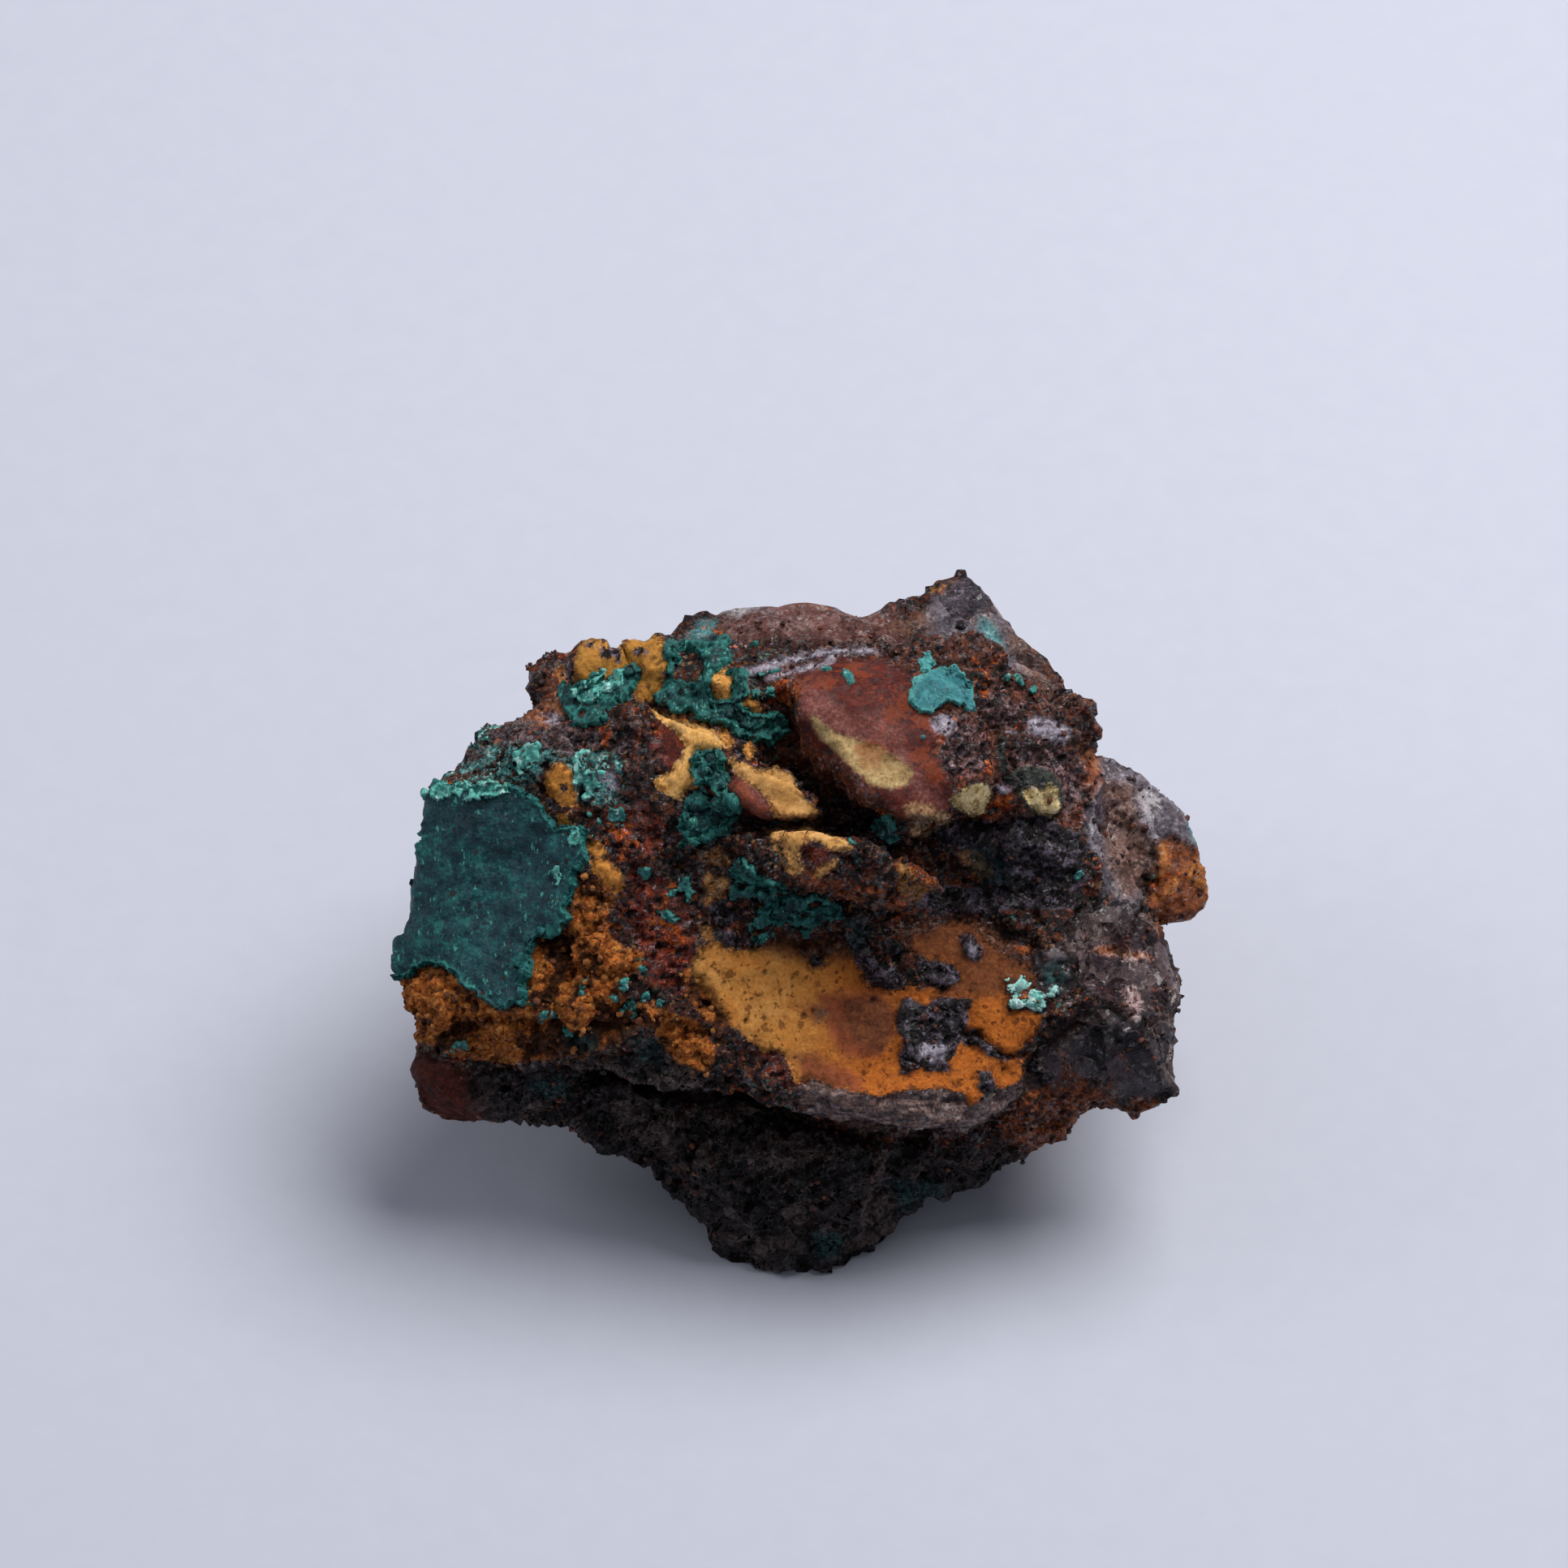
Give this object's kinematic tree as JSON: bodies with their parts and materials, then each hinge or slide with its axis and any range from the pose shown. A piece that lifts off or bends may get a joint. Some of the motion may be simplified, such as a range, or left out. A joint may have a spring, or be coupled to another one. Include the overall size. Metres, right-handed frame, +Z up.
{
  "type": "mineral specimen",
  "caption": "Pseudomalachite specimen: a dark brown and ochre lump of iron-oxide rock with a broad leaning face that carries patchy teal-green crusts.",
  "frame": {"origin": "on the rest plane, under the middle of the bounding box", "axes": "+X to the right along the specimen's longest extent, +Y from the viewer towards the back, +Z up from the rest plane; the crusted face leans back and looks towards -Y and +Z"},
  "size_m": [0.0508, 0.0366, 0.0333],
  "materials": {
    "gossan": "rough, crumbly, patches of matt ochre and dark glossy grains",
    "pseudomalachite": "fine botryoidal skin, satin"
  },
  "bodies": {
    "root": {"matrix": "gossan", "crust_plate": "pseudomalachite", "crust_patch": "pseudomalachite", "crust_crest": "pseudomalachite", "crust_saddle": "pseudomalachite", "crust_rosette": "pseudomalachite", "crust_ledge": "pseudomalachite"}
  },
  "joints": []
}
